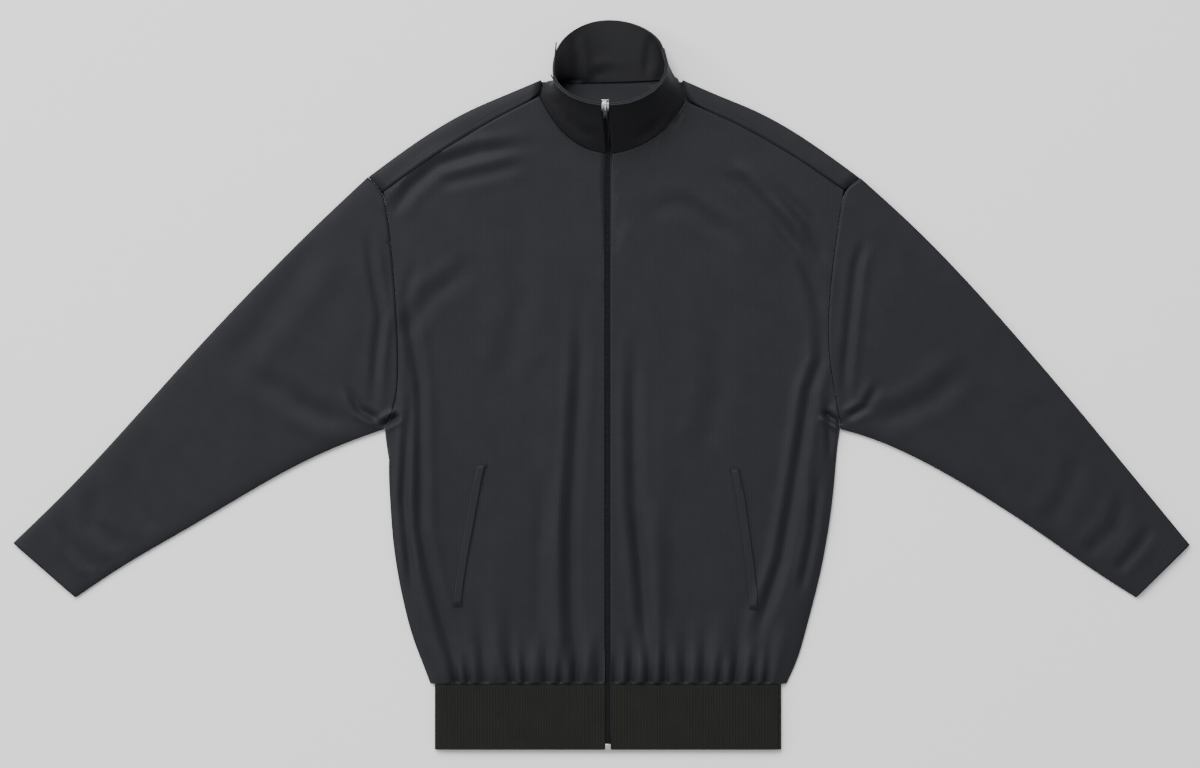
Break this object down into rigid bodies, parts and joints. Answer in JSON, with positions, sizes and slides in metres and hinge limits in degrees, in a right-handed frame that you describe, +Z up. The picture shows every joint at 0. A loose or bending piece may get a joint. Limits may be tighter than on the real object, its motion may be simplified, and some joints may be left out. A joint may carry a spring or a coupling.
{
  "type": "track jacket",
  "caption": "Zipped long-sleeved track jacket with a stand collar, slanted pockets and a ribbed hem, laid flat with its front up.",
  "frame": {"origin": "centre of the laid jacket's box, on the surface it lies on", "axes": "+X towards the wearer's left sleeve, +Y from the hem towards the collar, +Z up out of the front"},
  "size_m": [1.355, 0.8418, 0.0609],
  "materials": {
    "body_knit": "smooth double knit with a slight sheen",
    "rib_knit": "matt rib knit",
    "zip_tape": "woven tape",
    "zip_metal": "bright metal",
    "pull_metal": "dark metal"
  },
  "bodies": {
    "jacket": {"back": "body_knit", "collar": "body_knit", "front_left": "body_knit", "front_right": "body_knit", "hem_rib": "rib_knit", "pocket_welt_left": "body_knit", "pocket_welt_right": "body_knit", "sleeve_left": "body_knit", "sleeve_right": "body_knit", "zip_box": "zip_metal", "zip_slider": "zip_metal", "zip_tape_left": "zip_tape", "zip_tape_right": "zip_tape"},
    "pull": {"zip_pull": "pull_metal"}
  },
  "joints": [
    {"name": "pull_hinge", "type": "hinge", "parent": "jacket", "child": "pull", "pos_m": [0.00417, 0.31239, 0.05743], "axis": [-1, 0, 0], "range_deg": [0, 150]}
  ]
}
